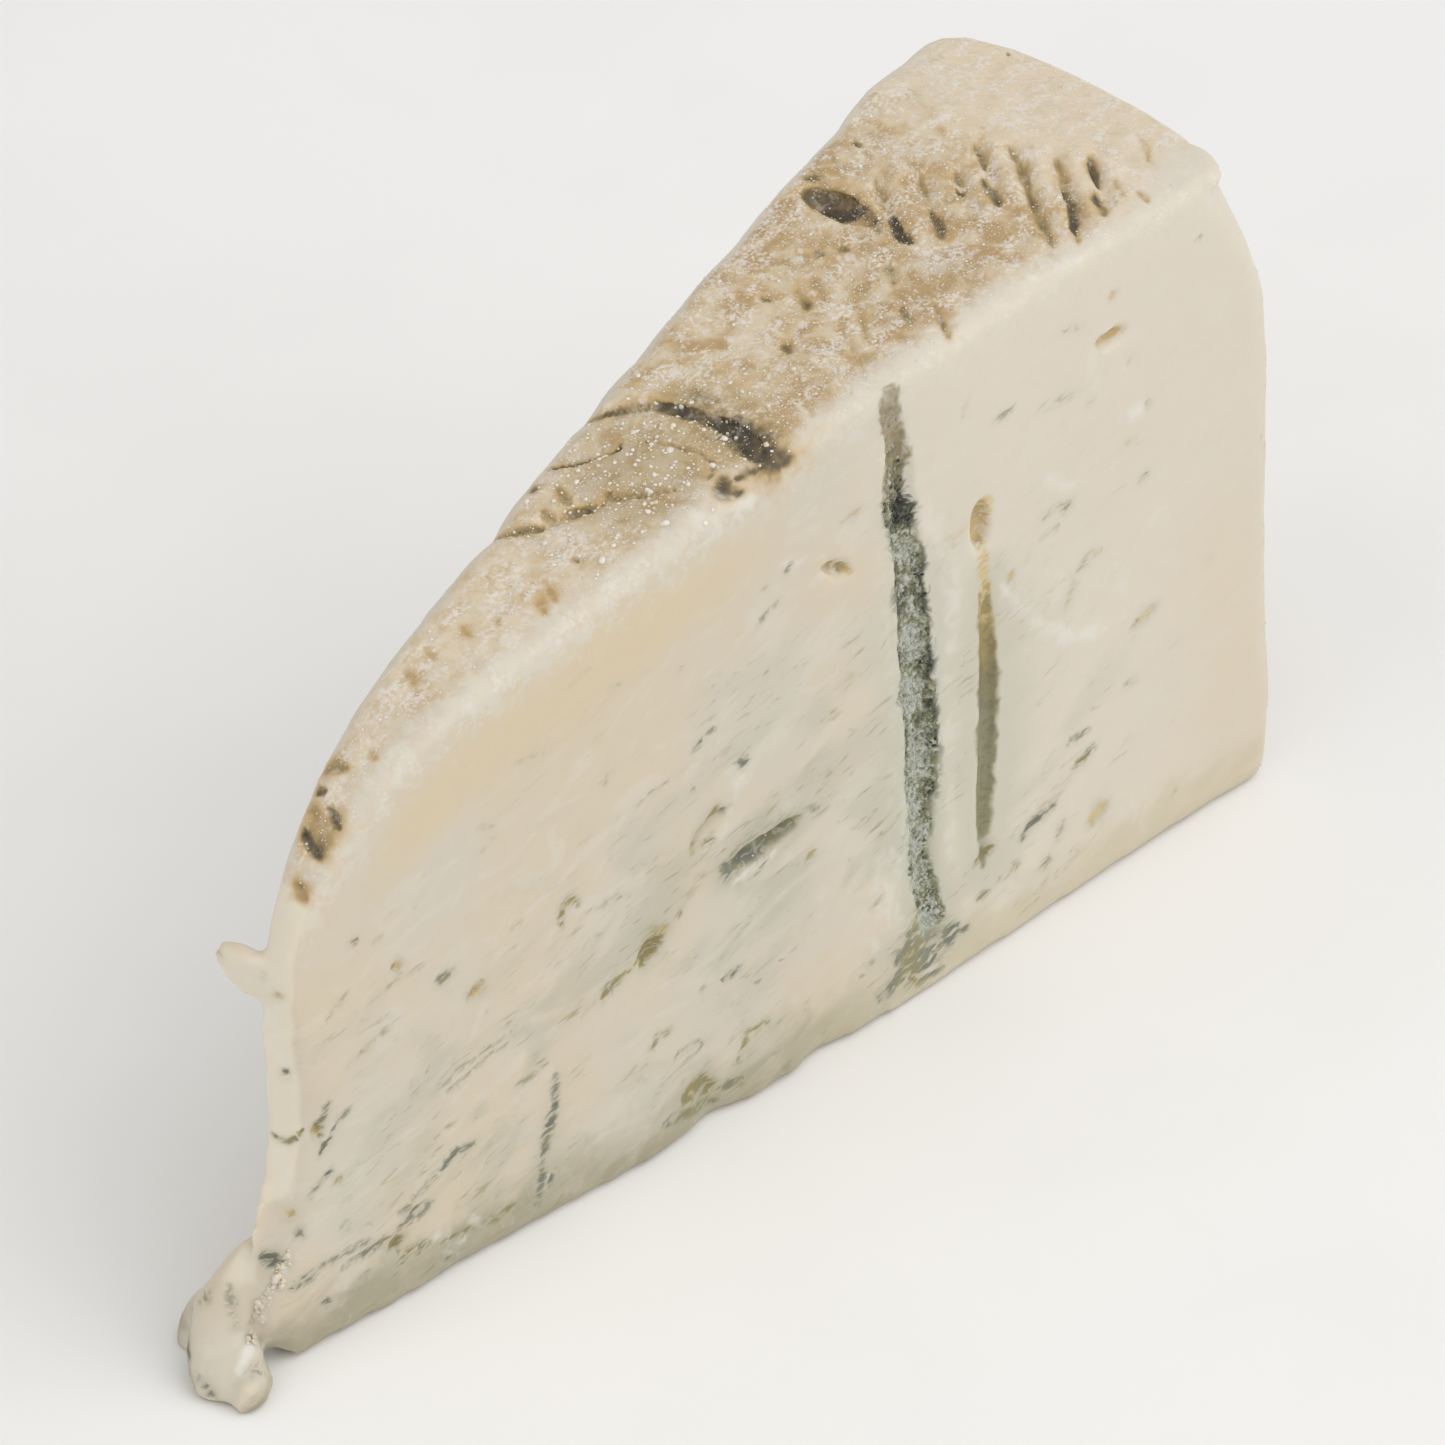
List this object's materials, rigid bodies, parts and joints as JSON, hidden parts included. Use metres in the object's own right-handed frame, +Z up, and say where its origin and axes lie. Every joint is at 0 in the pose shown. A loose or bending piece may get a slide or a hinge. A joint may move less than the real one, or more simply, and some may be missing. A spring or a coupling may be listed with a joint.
{
  "type": "gorgonzola wedge",
  "caption": "Tapered wedge of soft blue-veined cheese: wrinkled rind on top and at the rim, pitted upright cuts, level underside, slumped nose with a smear at its foot.",
  "frame": {"origin": "on the table, under the middle of the wedge's bounding box", "axes": "+X runs along the wedge from its narrow nose to the wide rim, +Y from the near cut with the mould veins to the far cut, +Z up"},
  "size_m": [0.148, 0.0414, 0.0814],
  "materials": {
    "cheese": "soft, moist, satin"
  },
  "bodies": {
    "root": {"wedge": "cheese"}
  },
  "joints": []
}
